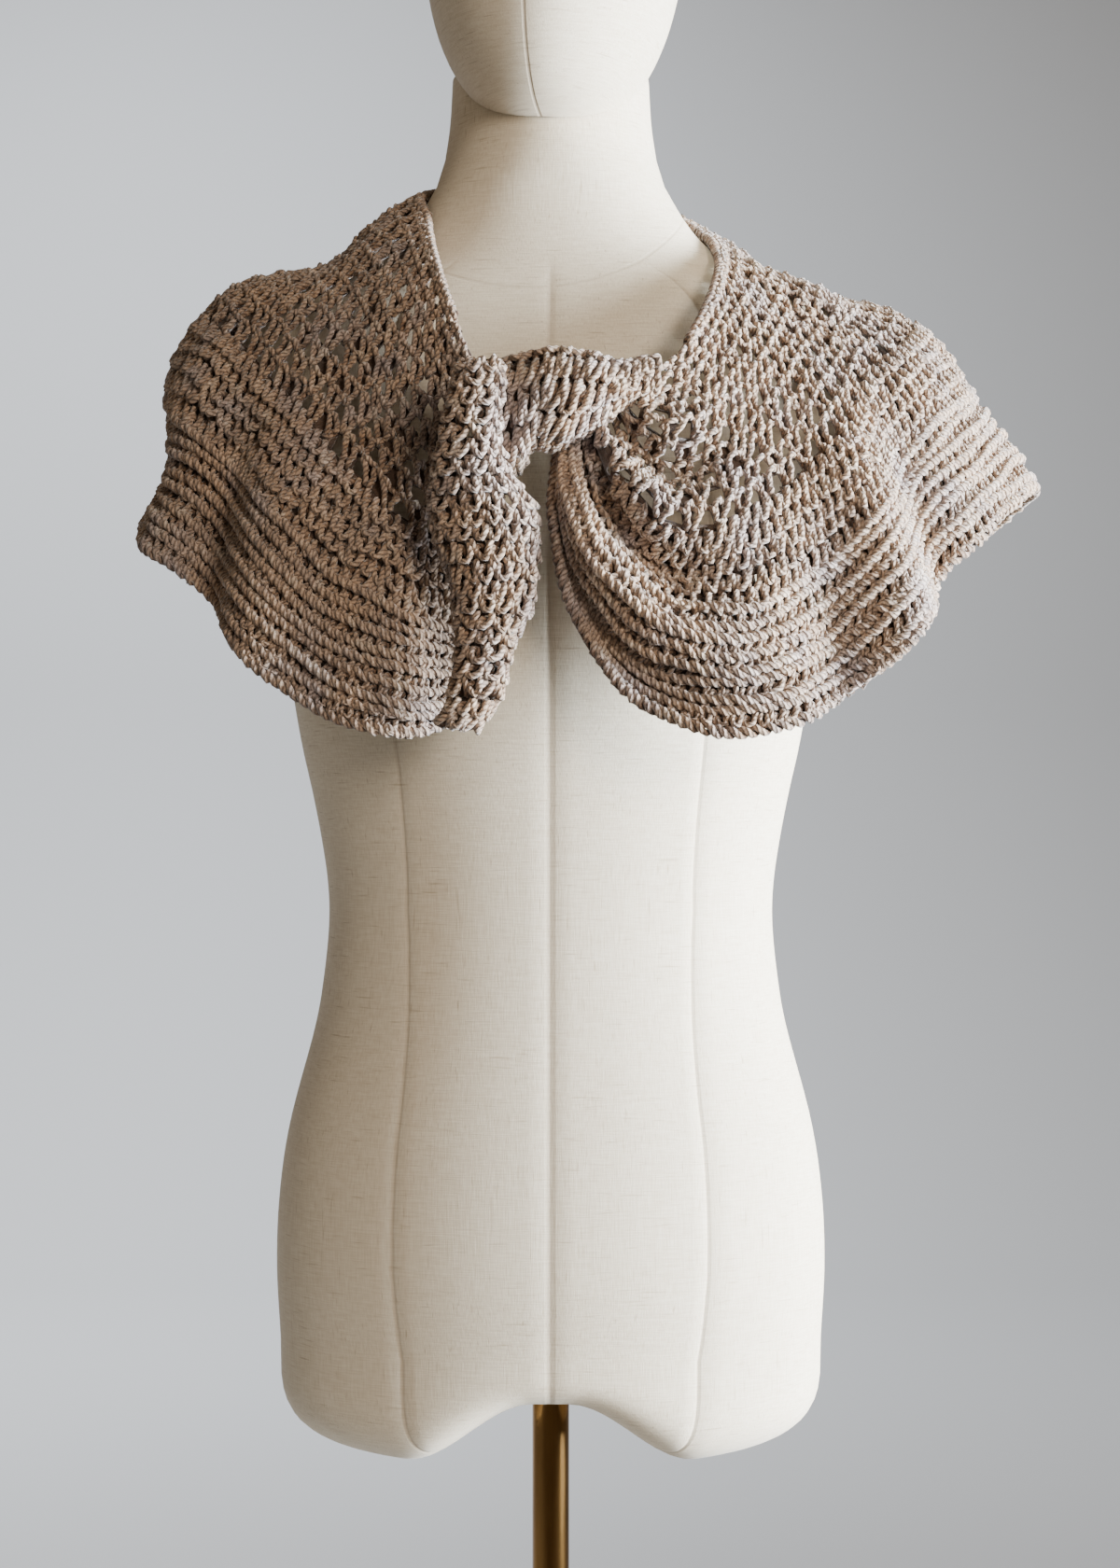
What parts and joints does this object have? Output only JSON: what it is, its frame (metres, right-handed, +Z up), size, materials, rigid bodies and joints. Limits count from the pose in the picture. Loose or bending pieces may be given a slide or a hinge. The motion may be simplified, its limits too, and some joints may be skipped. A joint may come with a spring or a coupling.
{
  "type": "crochet capelet on a limbless dress form",
  "caption": "Short openwork shoulder capelet with a ribbed hem border and a knotted front, worn on a linen dress form with a plain head, brass pole and round base.",
  "frame": {"origin": "centre of the base's underside, on the pole's axis", "axes": "+Z up, -Y is the front of the form, +X is the viewer's right"},
  "size_m": [0.5141, 0.3367, 1.7416],
  "materials": {
    "yarn": "plied heather yarn in taupe, mauve grey, tan and cream, crocheted",
    "linen": "plain-woven natural linen with slubs, stretched smooth over a hard form",
    "brass": "polished antique brass"
  },
  "bodies": {
    "form": {"form_torso": "linen", "pole": "brass", "base": "brass", "yoke_left": "yarn", "yoke_right": "yarn", "border_left": "yarn", "border_right": "yarn", "neck_edging": "yarn", "knot_band": "yarn", "left_tail": "yarn"},
    "head": {"form_head": "linen"}
  },
  "joints": [
    {"name": "head_turn", "type": "hinge", "parent": "form", "child": "head", "pos_m": [0, 0.006, 1.533], "axis": [0, 0, 1], "continuous": true}
  ]
}
